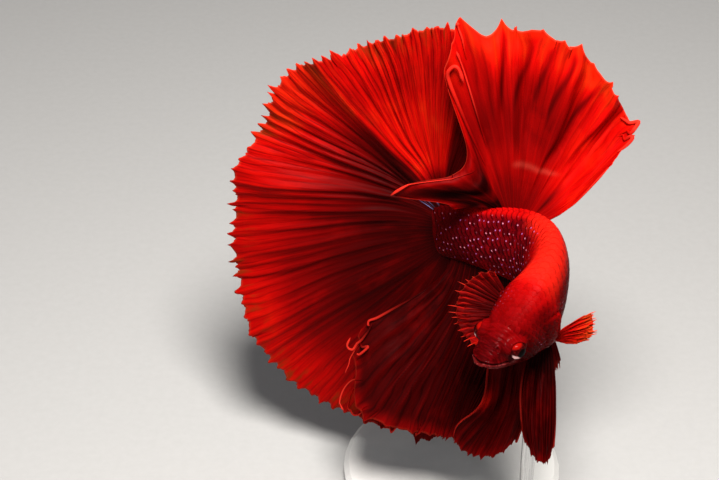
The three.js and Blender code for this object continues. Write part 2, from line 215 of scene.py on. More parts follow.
def angle_at(s, share):
    row = np.clip(np.asarray(s, float) / SKIN_LENGTH, 0, 1) * (len(share_places) - 1)
    column = np.clip(share, 0, 1) * (len(SHARES) - 1)
    i = np.minimum(row.astype(int), len(share_places) - 2)
    j = np.minimum(column.astype(int), len(SHARES) - 2)
    first, second = (lerp(share_angles[i, k], share_angles[i + 1, k], row - i) for k in (j, j + 1))
    return lerp(first, second, column - j)


def round_length(s):
    """How far it is over the skin from the back to the belly."""
    return np.interp(s, share_places, half_rounds)


def around(s, share, side):
    """Distances left and up of the skin at a share. A share past either end comes out on the other side."""
    side = np.where((share < 0) | (share > 1), -side, side)
    share = np.where(share < 0, -share, np.where(share > 1, 2 - share, share))
    left, up = section(s, angle_at(s, share))
    return side * left, up


def above_mouth(s, up):
    return up - lerp(MOUTH["front"], MOUTH["back"], s / MOUTH["to"])


def relief(s, left, up):
    """How far the skin stands out from the plain body."""
    flank = np.abs(left)
    above = above_mouth(s, up)
    lips = 0.17 * bump(above, 0.34, 0.2) + 0.2 * bump(above, -0.38, 0.3) - 0.5 * bump(above, 0, 0.1)
    out = fade(s, 3.2, 4.6) * lips - 0.16 * bump(s, 3.2, 0.8) * bump(above, 1.3, 0.5)
    crown = ease(up, 0.6, 2.2) * between(s, 0.7, 1.3, 4.6, 6.4)
    wrinkles = 1.7 * s + 0.16 * np.cos(1.9 * left) + 0.2 * ripple(2 * s, 3)
    out += 0.035 * crown * np.sin(2 * np.pi * wrinkles)
    nostril = np.hypot(s - 2.5, flank - 1.55)
    out += (0.12 * bump(nostril, 0.42, 0.16) - 0.25 * bump(nostril, 0, 0.22)) * (up > 1.2)

    eye = np.hypot(s - EYE["at"], up - EYE["height"])
    lid = 0.5 + 0.5 * np.tanh((up - EYE["height"] - 0.2) / 0.5)
    out += (0.2 + 0.5 * lid) * bump(eye, EYE["radius"] + 0.12 - 0.12 * lid, 0.34)
    out -= 0.14 * bump(eye, EYE["radius"] + 0.85, 0.35)

    angle = np.degrees(np.arctan2(up, flank))
    middle, half = (GILL["low"] + GILL["high"]) / 2, (GILL["high"] - GILL["low"]) / 2
    across = np.clip(np.abs(angle - middle + 4) / half, 0, 1)
    behind = s - lerp(GILL["start"], GILL["end"], np.minimum(1, np.sqrt(1 - across**2) / 0.72))
    cover = fade(across, 0.86, 1.0) * ease(s, GILL["start"] - 1, GILL["start"] + 1.5)
    plate = 0.42 * ease(s, 8.5, 12.6) * fade(behind, -0.12, 0.16) - 0.3 * bump(behind, 0.34, 0.26)
    cheek_edge = 9.5 + 0.5 * np.cos(np.radians(2 * angle + 30))
    out += cover * plate - 0.16 * bump(s, cheek_edge, 0.2) * between(up, -5, -3.6, 1.4, 2.6)
    throat = ease(-up, 2.2, 3.6) * between(s, 3.5, 5, 11, 13)
    return out + 0.07 * throat * np.sin(2 * np.pi * (0.75 * flank + 0.12 * s))


def markings_and_shading(s, left, up):
    """What the materials read on the skin: a place, and where each of the fish's colours and its painted
    light and shade lie, from 0 to 1.

    One attribute holds the pale jaw, the snout side in painted shade and the violet flank. Another holds the
    painted highlight along the back, the deeper red head, and painted shade on the cheeks, gill cover,
    belly, outer flank, snout tip and tail end.
    """
    top, bottom, width, _ = smooth(STATIONS, s)
    flank = np.abs(left)
    height = (up + bottom) / (top + bottom)
    jaw = between(above_mouth(s, up), -2.6, -1.2, -0.25, 0.15) * fade(s, 3.6, 5.6)
    # the snout side between the lips and the eye, in painted shade
    shade = bump(s, 3.4, 1.3) * bump(up, 0.15, 0.8) * ease(flank, 0.9, 1.7)
    violet = ease(s, 19, 27) * between(height, -0.2, 0.25, 0.86, 0.97) * (1 - 0.9 * ease(s, 40, 45))
    # back: a painted highlight along the top of the bend, where the light from above falls
    back = ease(height, 0.72, 0.95) * between(s, 11.5, 15, 24, 29)
    head = fade(s, 5.5, 16.5)
    # low, with the outer flank, gill cover, tail end and snout tip taken into it below, is painted shade on
    # parts turned from the light
    low = np.maximum(head, 0.6) * fade(height, 0.35, 0.8) * fade(s, 14, 22)
    outer = ease(left / width, 0, 0.8) * between(s, 11, 15, 24, 32)
    gill = ease(flank / width, 0.5, 0.9) * bump(s, 10.5, 2.6)
    low = np.maximum.reduce([low, ease(s, 34, 43), 0.9 * outer, 0.8 * gill, fade(s, 2, 6)])
    where = stacked(s, left, up)
    return {"marks_and_shade": stacked(jaw, shade, violet), "tones_and_shading": stacked(back, head, low), "where": where}


# ---------------- meshes


def grid_faces(rows, columns, ring=False):
    """Quads over a grid of points, with the last column joined to the first in a ring."""
    r, c = np.meshgrid(np.arange(rows - 1), np.arange(columns if ring else columns - 1), indexing="ij")
    here, after = r * columns + c, r * columns + (c + 1) % columns
    return stacked(here, after, after + columns, here + columns).reshape(-1, 4)


def grid_normals(points):
    return unit(np.cross(np.gradient(points, axis=1), np.gradient(points, axis=0)))


def add_object(name, data):
    made = bpy.data.objects.new(name, data)
    bpy.context.scene.collection.objects.link(made)
    return made


def make_piece(name, points, faces, material, values=None, uv=None):
    """A smooth mesh from points in millimetres. values are numbers or vectors kept for the material."""
    mesh = bpy.data.meshes.new(name)
    mesh.from_pydata((points.reshape(-1, 3) * MM).tolist(), [], faces.tolist())
    for key, value in (values or {}).items():
        kind = "FLOAT" if value.size == len(mesh.vertices) else "FLOAT_VECTOR"
        layer = mesh.attributes.new(key, kind, "POINT")
        layer.data.foreach_set("value" if kind == "FLOAT" else "vector", value.astype(np.float32).ravel())
    if uv is not None:
        corners = np.zeros(len(mesh.loops), np.int32)
        mesh.loops.foreach_get("vertex_index", corners)
        flat = uv.reshape(-1, 2)[corners].astype(np.float32).ravel()
        mesh.uv_layers.new(name="OFBake").data.foreach_set("uv", flat)
    mesh.polygons.foreach_set("use_smooth", np.ones(len(mesh.polygons), bool))
    mesh.materials.append(material)
    mesh.update()
    return add_object(name, mesh)


def attach(piece, slot, *nodes):
    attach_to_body(piece, "root")
    if nodes:
        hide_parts(*nodes)


# ---------------- materials


class Wire:
    """One output of a node. Sums, products and the calls below add the nodes that they need."""

    def __init__(self, look, socket):
        self.look = look
        self.socket = socket

    def __add__(self, other):
        return self.look.math("ADD", self, other)

    def __sub__(self, other):
        return self.look.math("SUBTRACT", self, other)

    def __rsub__(self, other):
        return self.look.math("SUBTRACT", other, self)

    def __mul__(self, other):
        return self.look.math("MULTIPLY", self, other)

    def __pow__(self, other):
        return self.look.math("POWER", self, other)

    def parts(self):
        return [Wire(self.look, part) for part in self.look.add("ShaderNodeSeparateXYZ", {0: self}).outputs]

    def spread(self, low, high, new_low=0.0, new_high=1.0):
        """Goes smoothly from new_low to new_high where this wire goes from low to high."""
        inputs = {0: self, 1: low, 2: high, 3: new_low, 4: new_high}
        return self.look.wire("ShaderNodeMapRange", inputs, interpolation_type="SMOOTHSTEP")

    def vary(self, low, high):
        """Noise, which mostly lies between 0.3 and 0.7, brought to other limits."""
        return self.spread(0.3, 0.7, low, high)

    def noise(self, scale, detail=3.0, rough=0.55):
        inputs = {"Vector": self, "Scale": scale, "Detail": detail, "Roughness": rough}
        return self.look.wire("ShaderNodeTexNoise", inputs)

    def mix(self, factor, other):
        return self.look.mix(factor, self, other)

    def ramp(self, stops):
        made = self.look.add("ShaderNodeValToRGB", {0: self})
        elements = made.color_ramp.elements
        while len(elements) < len(stops):
            elements.new(0.5)
        for element, (where, colour) in zip(elements, stops):
            element.position = where
            element.color = (*colour, 1)
        return Wire(self.look, made.outputs[0])

    def bump(self, distance, strength):
        inputs = {"Height": self, "Distance": distance, "Strength": strength}
        return self.look.wire("ShaderNodeBump", inputs)


class Look:
    """A material's node tree."""

    def __init__(self, name):
        self.material = bpy.data.materials.new(name)
        self.material.use_nodes = True
        self.tree = self.material.node_tree
        self.tree.nodes.clear()

    def add(self, kind, inputs=None, **settings):
        made = self.tree.nodes.new(kind)
        for key, value in settings.items():
            setattr(made, key, value)
        for key, value in (inputs or {}).items():
            socket = made.inputs[key]
            if isinstance(value, Wire):
                self.tree.links.new(value.socket, socket)
            else:
                socket.default_value = (*value, 1) if socket.type == "RGBA" else value
        return made

    def wire(self, kind, inputs=None, output=0, **settings):
        return Wire(self, self.add(kind, inputs, **settings).outputs[output])

    def read(self, name, output="Vector"):
        """What the mesh holds under a name."""
        return self.wire("ShaderNodeAttribute", output=output, attribute_name=name)

    def vector(self, x, y, z):
        return self.wire("ShaderNodeCombineXYZ", {0: x, 1: y, 2: z})

    def math(self, operation, a, b=0.0):
        return self.wire("ShaderNodeMath", {0: a, 1: b}, operation=operation)

    def mix(self, factor, a, b, blend="MIX"):
        settings = {"data_type": "RGBA", "blend_type": blend, "clamp_factor": True}
        return self.wire("ShaderNodeMix", {0: factor, 6: a, 7: b}, 2, **settings)

    def finish(self, shader):
        """Ends the tree with a shader, or with a plain one that has these inputs."""
        if isinstance(shader, dict):
            shader = self.wire("ShaderNodeBsdfPrincipled", shader)
        self.add("ShaderNodeOutputMaterial", {0: shader})
        return self.material


SCARLET = (0.5, 0.002, 0.0015)
CRIMSON = (0.28, 0.001, 0.001)
# painted highlight along the back
HIGHLIGHT_SALMON = (0.66, 0.012, 0.005)
VIOLET = (0.05, 0.0003, 0.0016)
HEAD_RED = (0.085, 0.0003, 0.0005)
# painted shade on the cheeks, belly, outer flank, snout tip and tail end
SHADE_RED = (0.026, 0.0002, 0.0004)
JAW_PINK = (0.06, 0.004, 0.004)
# painted shade on the snout side
SNOUT_SHADE = (0.02, 0.0006, 0.0006)
# Fin colours from deep painted shade to lit orange-red; the fins' own deeper roots and orange margins use
# the same scale
FIN_SHADING_RAMP = [
    (0.0, (0.016, 0.0001, 0.0002)),
    (0.35, (0.22, 0.0005, 0.0006)),
    (0.7, (0.62, 0.002, 0.001)),
    (0.88, (0.8, 0.012, 0.002)),
    (1.0, (0.72, 0.06, 0.005)),
]
MARGIN_BROWN = (0.2, 0.022, 0.003)
# the edge's own orange, stronger where the fin is lit: partly painted highlight
LIT_RIM_ORANGE = (0.85, 0.07, 0.03)
# painted highlight on rolled edges and loose tips
LIT_ROLL_RED = (0.9, 0.035, 0.02)
IRIS_TONES = [(0.3, (0.008, 0.0006, 0.0006)), (0.55, (0.03, 0.001, 0.001)), (0.75, (0.08, 0.003, 0.003))]
# the iris's own red, shown on its upper side where the light falls: partly painted light
LIT_IRIS_RED = (0.22, 0.002, 0.001)
# painted reflection at the eye's lower front, over a silvery iris
SILVER_GLINT = (0.95, 0.55, 0.52)


def fish_colours(look, grain):
    """The skin's colours, which the scales share, with painted highlight and shade among them. grain is
    noise that breaks their edges up.
    """
    jaw, shade, violet = look.read("marks_and_shade").parts()
    back, head, low = look.read("tones_and_shading").parts()
    rough = grain.vary(-0.25, 0.25)
    colour = look.mix(grain.spread(0.35, 0.7), CRIMSON, SCARLET)
    colour = colour.mix(head * 0.9, HEAD_RED)
    # painted shade
    colour = colour.mix(low * 0.92, SHADE_RED)
    colour = colour.mix(violet + rough, VIOLET)
    # painted highlight along the back
    colour = colour.mix(back * 0.75, HIGHLIGHT_SALMON)
    # painted shade on the snout side, broken up by the grain
    colour = colour.mix(shade + rough * 0.6, SNOUT_SHADE)
    return colour.mix(jaw, JAW_PINK)


def skin_look():
    look = Look("betta_skin")
    where = look.read("where")
    fine = where.noise(2.2, 4)
    colour = fish_colours(look, where.noise(0.9, 4))
    drawn_out = look.wire("ShaderNodeVectorMath", {0: where, 1: (3.2, 0.7, 0.7)}, operation="MULTIPLY")
    wrinkle = drawn_out.noise(1.1, 4)
    colour = colour.mix(wrinkle.spread(0.42, 0.62, 0, 0.3), colour.mix(0.3, (0.45, 0.004, 0.008)))
    jaw = look.read("marks_and_shade").parts()[0]
    # pale speckles along the lips are painted highlights
    colour = colour.mix(jaw * fine.spread(0.52, 0.62, 0, 0.6), (0.3, 0.05, 0.05))
    inputs = {"Base Color": colour, "Roughness": fine.vary(0.35, 0.5)}
    inputs |= {"Coat Weight": 0.015, "Coat Roughness": 0.05, "Specular IOR Level": 0.006}
    inputs |= {"Subsurface Weight": 0.12, "Subsurface Scale": 0.001}
    return look.finish(inputs | {"Normal": (fine + wrinkle).bump(0.00006, 0.7)})


def scale_look():
    look = Look("betta_scales")
    where = look.read("where")
    across, down, chance = look.read("tile").parts()
    back, head, low = look.read("tones_and_shading").parts()
    colour = fish_colours(look, where.noise(0.9, 4))
    colour = colour.mix(chance.spread(0, 1, 0, 0.3) * (1 - low), colour.mix(0.5, (0.4, 0.004, 0.006)))
    # more painted shade on the scales
    colour = colour.mix(low * 0.3, SHADE_RED)
    # the scales' rear edges are softened on the head and under the back's painted highlight
    smooth_back = look.math("MAXIMUM", back, head).spread(0, 0.5, 0.2, 0.05)
    colour = colour.mix(down.spread(0.82, 1) * smooth_back, colour.mix(0.55, (0.02, 0, 0.002)))

    # glint: the flank's dots, partly the scales' own iridescence and partly painted reflection, and painted
    # highlight dots on the nape, crown and cheek
    glint = look.read("glint", "Fac")
    sideways = (across + chance.spread(0, 1, -0.28, 0.28)) * 7.5
    endways = (down - 0.8) * 14.0
    reach = sideways**2.0 + endways**2.0
    spot = reach.spread(0.1, 1.2, 0.8, 0) * glint
    colour = colour.mix(reach.spread(0.8, 7.0, 1, 0) * glint * 0.2, (0.12, 0.0008, 0.015))
    colour = colour.mix(spot, look.mix(chance.spread(0.2, 0.8), (0.85, 0.28, 0.38), (0.45, 0.14, 0.45)))

    growth = look.math("SINE", down * 60.0)
    fine = where.noise(3.0, 4)
    inputs = {"Base Color": colour, "Roughness": fine.vary(0.28, 0.46), "Metallic": spot * 0.3}
    inputs |= {"Specular IOR Level": 0.008, "Subsurface Weight": 0.1, "Subsurface Scale": 0.001}
    inputs["Normal"] = (growth * 0.16 + fine).bump(0.00004, 0.6)
    return look.finish(inputs)


def fin_look():
    look = Look("betta_fin")
    u, r, ray = look.read("fin").parts()
    tone, tint_and_glint, roll = look.read("paint").parts()
    silk = look.read("silk", "Fac")
    turns = u * look.read("rays", "Fac")
    lines = look.vector(turns, r * 1.6, 0.0).noise(2.0, 4, 0.7)
    threads = look.vector(turns * 3.0, r * 3.0, 4.0).noise(2.0, 3, 0.6)
    cloud = look.vector(turns * 0.3, r * 4.0, 8.0).noise(1.2, 4)
    # painted light and shade, with the fin's own colour, through one ramp
    colour = tone.ramp(FIN_SHADING_RAMP)
    bright = colour.mix(0.5, (tone + 0.25).ramp(FIN_SHADING_RAMP))
    colour = colour.mix(cloud.spread(0.5, 0.72, 0, 0.7), bright)
    # painted highlight along each ray's crest
    colour = colour.mix(ray * 0.5, bright)
    # painted shade in the fine folds between rays, which darkens the streaks below
    fold_shade = look.mix(1.0, colour, (0.25, 0.15, 0.35), "MULTIPLY")
    colour = colour.mix(lines.spread(0.36, 0.58, 0.45, 0) * silk, fold_shade)
    colour = colour.mix(threads.spread(0.38, 0.55, 0.35, 0) * silk, fold_shade)
    wander = look.vector(turns * 0.22, r * 2.2, 1.0).noise(1.0, 2)
    swing = look.math("SINE", (turns * 2.0 + wander * 3.0) * math.pi)
    thin = (swing * swing).spread(0.02, 0.22, 0.85, 0) * lines.spread(0.66, 0.42, 0.25, 1)
    colour = colour.mix(thin * silk, fold_shade)

    streaked = silk.spread(0.36, 0.42)
    patchy = (lines + cloud).spread(1.0, 1.2) * r.spread(0.86, 0.97) * tone.spread(0.3, 0.5) * streaked
    colour = colour.mix(patchy * ray.spread(0, 0.3, 0.8, 0.1), MARGIN_BROWN)
    # orange edge, partly the fin's own colour and partly painted highlight where lit
    colour = colour.mix(r.spread(0.985, 1.0, 0, 0.6) * tone, LIT_RIM_ORANGE)
    # painted highlight on the rolled strands
    colour = colour.mix(roll * 0.7, LIT_ROLL_RED)
    # the dorsal fin's pale streak is a painted highlight; the tail fin's blue-white and violet streaks near
    # its root are its own colour
    colour = colour.mix(tint_and_glint, look.mix(streaked, (1.0, 0.16, 0.1), (0.36, 0.38, 0.8)))
    joints = look.math("SINE", r * 420.0)
    height = lines * 1.4 + threads * 0.7 + joints * ray * 0.12
    shared = {"Normal": (height * silk).bump(0.00016, 0.8)}
    inputs = {"Base Color": colour, "Roughness": lines.vary(0.42, 0.6), "Specular IOR Level": 0.03}
    solid = look.wire("ShaderNodeBsdfPrincipled", inputs | shared)
    glow = look.wire("ShaderNodeBsdfTranslucent", {"Color": colour} | shared)
    return look.finish(look.wire("ShaderNodeMixShader", {0: 0.4, 1: solid, 2: glow}))


def eye_look():
    look = Look("betta_eye")
    gaze = look.read("gaze")
    ahead, low, out = gaze.parts()
    grain = gaze.noise(5.0, 4)
    rim = out + grain.vary(-0.04, 0.04)
    # crescent at the lower front: painted reflection, partly the iris's own silvery colour
    silver_glint = (low * 0.84 + ahead * 0.54).spread(0.28, 0.46)
    # red on the eye's upper side: the iris's own red, partly painted light from above
    colour = grain.ramp(IRIS_TONES).mix(low.spread(-0.62, -0.85), LIT_IRIS_RED)
    colour = colour.mix(silver_glint * rim.spread(0.32, 0.46) * rim.spread(0.85, 0.78), SILVER_GLINT)
    colour = colour.mix(rim.spread(0.84, 0.87), (0.002, 0.001, 0.001))
    inputs = {"Base Color": colour, "Roughness": grain.vary(0.15, 0.3)}
    return look.finish(inputs | {"Coat Weight": 0.04, "Coat Roughness": 0.03, "Specular IOR Level": 0.004})


def base_look():
    look = Look("stand_paint")
    where = look.wire("ShaderNodeTexCoord", output="Object")
    grain = where.noise(2600.0, 5)
    colour = look.mix(where.noise(90.0, 3).spread(0.35, 0.65), (0.56, 0.55, 0.53), (0.63, 0.62, 0.59))
    inputs = {"Base Color": colour, "Roughness": grain.vary(0.42, 0.6)}
    return look.finish(inputs | {"Normal": grain.bump(0.00005, 0.5)})


def rod_look():
    look = Look("stand_steel")
    x, y, z = look.wire("ShaderNodeTexCoord", output="Object").parts()
    drawn = look.vector(x * 9000.0, y * 9000.0, z * 160.0).noise(1.0, 3)
    colour = look.mix(drawn.spread(0.35, 0.65), (0.5, 0.5, 0.5), (0.66, 0.66, 0.65))
    inputs = {"Base Color": colour, "Metallic": 1.0, "Roughness": drawn.vary(0.22, 0.38)}
    return look.finish(inputs | {"Normal": drawn.bump(0.00001, 0.4)})


def floor_look():
    look = Look("floor_paper")
    grain = look.wire("ShaderNodeTexCoord", output="Object").noise(700.0, 4)
    colour = look.mix(grain, (0.36, 0.355, 0.345), (0.4, 0.395, 0.385))
    return look.finish({"Base Color": colour, "Roughness": 0.8, "Normal": grain.bump(0.00004, 0.3)})


# ---------------- skin

SKIN_ROUND = 240
SNOUT_CAP = 0.35  # how far the lips round off ahead of the first station
TAIL_CAP = 0.05


def make_skin(material):
    spans = [(0, 1.2, 0.05), (1.2, 6.6, 0.08), (6.6, 14.4, 0.12), (14.4, SKIN_LENGTH, 0.2)]
    s = np.concatenate([np.arange(*span) for span in spans] + [[SKIN_LENGTH]])
    nose = np.sin(np.radians(np.linspace(6, 84, 9)))
    tail = np.sin(np.radians(np.linspace(80, 8, 5)))
    shrink = np.concatenate([nose, np.ones(len(s)), tail])[:, None]
    turn = np.arange(SKIN_ROUND) / SKIN_ROUND
    s = np.concatenate([0 * nose, s, 0 * tail + SKIN_LENGTH])[:, None] + 0 * turn
    fore = np.where(s > 0, -TAIL_CAP, SNOUT_CAP) * np.sqrt(1 - shrink**2)
    left, up = section(s, angle_at(s, 1 - np.abs(1 - 2 * turn)), shrink)
    left = left * np.where(turn < 0.5, 1, -1)
    points = place(s, left, up, fore)
    normals = grid_normals(points)
    outwards = np.sum(normals * (points - centre_at(s)), -1)
    coat = COAT * fade(s, BODY_LENGTH, SKIN_LENGTH)
    points += along(relief(s, left, up) - coat, normals * np.sign(np.median(outwards)))

    count = s.size
    ring = np.arange(SKIN_ROUND)
    after = np.roll(ring, -1)
    last = count - SKIN_ROUND
    ends = [stacked(after, ring, count), stacked(last + ring, last + after, count + 1)]
    faces = [face for part in (grid_faces(*s.shape, ring=True), *ends) for face in part.tolist()]
    values = {key: value.reshape(-1, 3) for key, value in markings_and_shading(s, left, up).items()}
    values = {key: np.concatenate([value, value[:1], value[-1:]]) for key, value in values.items()}
    points = np.concatenate([points.reshape(-1, 3), [points[0].mean(0), points[-1].mean(0)]])
    piece = make_piece("betta_skin", points, np.array(faces, object), material, values)
    gills = ("gill_cover_left", "gill_cover_right")
    attach(piece, "skin", "head", "lower_jaw", *gills, "trunk_front", "trunk_rear", "peduncle")


# ---------------- scales

SCALE_ROW = 1.5  # distance between rows at mid body, over the skin
SCALE_SPAN = 9  # points across a scale
SCALE_RUN = 7  # points along it, before its thick rear edge


def scale_roots():
    """Each scale's place along the body, share, side, and length and half height in millimetres."""
    rng = np.random.default_rng(11)
    roots = []
    s = 5.6
    column = 0
    while s < SKIN_LENGTH - 1.6:
        pitch = np.interp(s, [5, 9, 15, 32, 45], [0.62, 0.74, 1.04, 1.0, 0.86])
        row = SCALE_ROW * np.interp(s, [5, 9, 16, 34, 45], [0.5, 0.6, 1.0, 0.96, 0.84])
        whole = round_length(s)
        rows = int(whole / row)
        for j in range(-rows + (rows + column) % 2, rows + 1, 2):
            jitter = rng.uniform(-1, 1, 3)
            size = pitch * (1.85 + 0.1 * jitter[1]), row * (0.98 + 0.05 * jitter[2])
            roots.append((s + 0.06 * jitter[0], abs(j) * row / whole, 1 if j >= 0 else -1, *size))
        s += pitch / 2
        column += 1
    return np.array(roots)


def bare(s, share, side):
    """True where a scale would lie over the eye, the lips, the throat or the gill slit."""
    _, up = around(s, share, side)
    eye = np.hypot(s - EYE["at"], up - EYE["height"])
    throat = (share > 0.8) & (s < 12.5)
    return (eye < EYE["radius"] + 0.55) | throat | (share > 0.99)


def surface(s, share, side, out):
    """A point over the skin, and the distances left and up of the plain body under it."""

    def plain(ds, dshare):
        return place(s + ds, *around(s + ds, share + dshare, side))

    normal = unit(np.cross(plain(0.06, 0) - plain(-0.06, 0), plain(0, 0.006) - plain(0, -0.006)))
    point = plain(0, 0)
    normal = normal * np.sign(np.sum(normal * (point - centre_at(s)), -1, keepdims=True))
    left, up = around(s, share, side)
    return point + along(relief(s, left, up) - COAT + out, normal), left, up


def make_scales(material):
    roots = scale_roots()
    roots = roots[~bare(*roots[:, :3].T)]
    kept = np.random.default_rng(8).uniform(0, 1, len(roots)) > ease(roots[:, 0], 43, 46.5)
    roots = roots[kept]
    a, c = np.meshgrid(np.linspace(-1, 1, SCALE_SPAN), np.append(np.linspace(0, 1, SCALE_RUN), 1.0))
    rim = np.zeros_like(c)
    rim[-1] = 1
    outline = np.sqrt(1 - 0.8 * a**2)
    root, share, side, length, half = roots.T[:, :, None, None]
    s = root + length * (c * outline + 0.14 * (1 - outline) - 0.25)
    s = np.clip(s, 0, SKIN_LENGTH - 0.02)
    across = half * a * (0.72 + 0.28 * np.sin(np.pi * np.minimum(c + 0.12, 1)))
    patch = stacked(0.0015 * a, 0.003 * (c - 0.5))
    uv = stacked(0.02 + 0.96 * root / SKIN_LENGTH, 0.5 + 0.48 * side * share) + patch
    share = share + across / round_length(root)
    chance = np.random.default_rng(5).uniform(0, 1, len(roots))[:, None, None]

    lift = lerp(-0.1, 0.2, c) - 0.05 * a**2 - 0.07 * rim
    flat = fade(share, 0.16, 0.36) * between(s, 12, 15, 26, 30)
    points, left, up = surface(s, share, side, lerp(lift, 0.35 * lift + 0.03, flat))
    faces = grid_faces(*a.shape)
    flip = np.repeat(roots[:, 2] > 0, len(faces))
    faces = (faces + np.arange(len(roots))[:, None, None] * a.size).reshape(-1, 4)
    faces[flip] = faces[flip][:, ::-1]

    # Glints: the flank's dots are partly the scales' own iridescence and partly painted reflection; the dots
    # at the nape, crown and cheek are painted highlights.
    glints = [
        ease(s, 21, 26) * (1 - 0.7 * ease(s, 38, 45)) * between(share, 0.1, 0.2, 0.86, 0.97),
        0.5 * ease(s, 13, 15) * between(share, 0.3, 0.45, 0.8, 0.95),
        0.8 * bump(s, 9.4, 1.5) * bump(share, 0.28, 0.12) * (side < 0),
        bump(s, 8.9, 0.7) * bump(share, 0.6, 0.08) * (side > 0),
    ]
    values = markings_and_shading(s, left, up) | {"tile": stacked(a, c, chance)}
    values["glint"] = np.maximum.reduce(glints) * ease(np.sin(37 * chance), -1.1, 0.5)
    attach(make_piece("betta_scales", points, faces, material, values, uv), "skin")


# ---------------- eyes


def make_eye(side, name, material):
    """An eyeball that looks out sideways and a little ahead, with its clear front bulging over the pupil."""
    centre = place(EYE["at"], side * EYE["side"], EYE["height"])
    fore, left, up = axes(EYE["at"])
    gaze = unit(side * left + 0.1 * fore + 0.06 * up)
    ahead = unit(fore - gaze * (fore @ gaze))
    low = np.cross(gaze, ahead)
    low = low * -np.sign(low @ up)
    turn, rise = np.meshgrid(np.linspace(0, 2 * np.pi, 56, endpoint=False), np.linspace(0, np.pi, 40))
    radius = EYE["radius"] * (1 - 0.02 * bump(rise, 0.62, 0.12) + 0.015 * bump(rise, 0, 0.4))
    local = stacked(np.sin(rise) * np.cos(turn), np.sin(rise) * np.sin(turn), np.cos(rise))
    points = centre + along(radius, local @ [ahead, low, gaze])
    faces = grid_faces(*turn.shape, ring=True)
    attach(make_piece("betta_" + name, points, faces, material, {"gaze": local}), "eye", name)


# ---------------- fins


def crest(u, count):
    """1 on each of so many rays across a fin, 0 halfway between two."""
    return 1 - 2 * np.abs(u * count - np.round(u * count))


class Fin:
    """A fan of rays. Each ray leaves its root one way and bends towards its tip's direction.

    u is a ray's number from 0 to 1 across the fin, r how far out a point is, and t the place that a ray has
    got to there, which differs from u where the rays sweep sideways on their way out. A fin's ray(t) gives
    its root, its directions at root and tip, its length, and the way that folds stand out. wave(t, r) is how
    far it stands out there. Each fin has its own rays, seed, spike (how far ray tips stand out of the edge),
    pleats (folds across the fin, height, where they start, where they end), and strands, which are rolled
    edges and loose tips: each a path of (u, r, out), a radius and the size of the knob on its end.
    """

    first, last = 0.0, 1.0
    columns = 8  # mesh columns for each ray
    rows = 80
    web = 0.2  # how far the web between rays falls short, as a share of the spike
    hem = ((0, 0), (1, 0))  # how much further the edge reaches than the rays' plain length
    curl = 0.35  # how far the edge rolls to and fro
    bow = 2  # 2 where rays bend near the root, 1 where they bend all the way out
    thick = 0.12
    lit = 1.0  # how brightly its strands' tips are lit

    def __init__(self, **given):
        vars(self).update(given)

    def fan(self, t, middle, towards):
        """Directions at root and tip, and lengths, of rays from the fin's table."""
        angle, length, more = smooth(self.table, t)
        return turned(angle + more, middle, towards), turned(angle, middle, towards), length

    def warp(self, u, r):
        return 0 * u

    def tint_and_glint(self, u, r):
        return 0 * u

    def sheen(self, u, r):
        """0 where the silk is smooth, 1 where it is strongly streaked."""
        return self.silk + 0 * u

    def edge(self, u):
        turn = u * self.rays + 0.35 * ripple(0.8 * u * self.rays, self.seed + 9)
        height = 0.62 + 0.55 * ripple(2.3 * np.round(turn), self.seed)
        main = height * crest(turn, 1) ** 2.2
        fine = 0.14 * crest(u, 3.3 * self.rays) ** 1.5 * (1 + ripple(3 * u * self.rays, self.seed + 6))
        return self.spike * (main + fine - self.web)

    def folds(self, u, r):
        out = self.curl * ripple(0.55 * self.rays * u + 2 * r, self.seed + 30) * ease(r, 0.84, 1)
        for k, (count, height, low, high) in enumerate(self.pleats):
            uneven = 0.75 + 0.45 * ripple(count * u * 0.5 + 3 * k, self.seed + 20 + k)
            turn = 2 * np.pi * (count * u + 0.3 * ripple(8 * u + 3 * r, self.seed + 40 + k))
            strength = height * between(r, low, low + 0.25, high, high + 0.15)
            out += strength * uneven * np.cos(turn + 0.5 * np.sin(turn))
        return out

    def point(self, u, r):
        hook = 0.28 / self.rays * ripple(1.3 * np.round(u * self.rays), self.seed + 5)
        t = u + self.warp(u, r) + hook * ease(r, 0.9, 1)
        root, start, tip, length, normal = self.ray(t)
        reach = r * length + (smooth(self.hem, u)[0] + self.edge(u)) * ease(r, 0.6, 1)
        bend = length * 0.8 * r * (1 - r) ** self.bow
        out = self.wave(t, r) + self.folds(u, r)
        return root + along(reach, tip) + along(bend, start - tip) + along(out, normal)


def fin_values(fin, u, r, ridge, roll):
    """What the material reads at each point of a fin."""
    # a fin's value on that ramp is mostly painted light and shade, with its own deeper root and orange
    # margin
    paint = stacked(np.clip(fin.tone(u, r), 0, 1), fin.tint_and_glint(u, r), roll)
    return {"fin": stacked(u, r, ridge), "paint": paint, "silk": fin.sheen(u, r)}


def sheet_parts(fin):
    """The fin's thin closed sheet: points, faces and what the material reads."""
    columns = int(fin.rays * fin.columns * (fin.last - fin.first)) + 1
    u, r = np.meshgrid(np.linspace(fin.first, fin.last, columns), np.linspace(0, 1, fin.rows + 1))
    middle = fin.point(u, r)
    ridge = crest(u, fin.rays) ** 6
    thick = fin.thick * lerp(1.25, 0.5, r) * (0.7 + 0.9 * ridge * (1 - 0.6 * r))
    half = along(thick / 2, grid_normals(middle))
    front = grid_faces(*u.shape)
    index = np.arange(u.size).reshape(u.shape)
    rim = np.concatenate([index[0, :-1], index[:-1, -1], index[-1, :0:-1], index[:0:-1, 0]])
    after = np.roll(rim, -1)
    band = stacked(after, rim, rim + u.size, after + u.size)
    faces = np.concatenate([front, front[:, ::-1] + u.size, band])
    values = {key: np.stack([value, value]) for key, value in fin_values(fin, u, r, ridge, 0 * u).items()}
    return np.stack([middle + half, middle - half]).reshape(-1, 3), faces, values


STRAND_SIDES = 8
STRAND_STEPS = 36


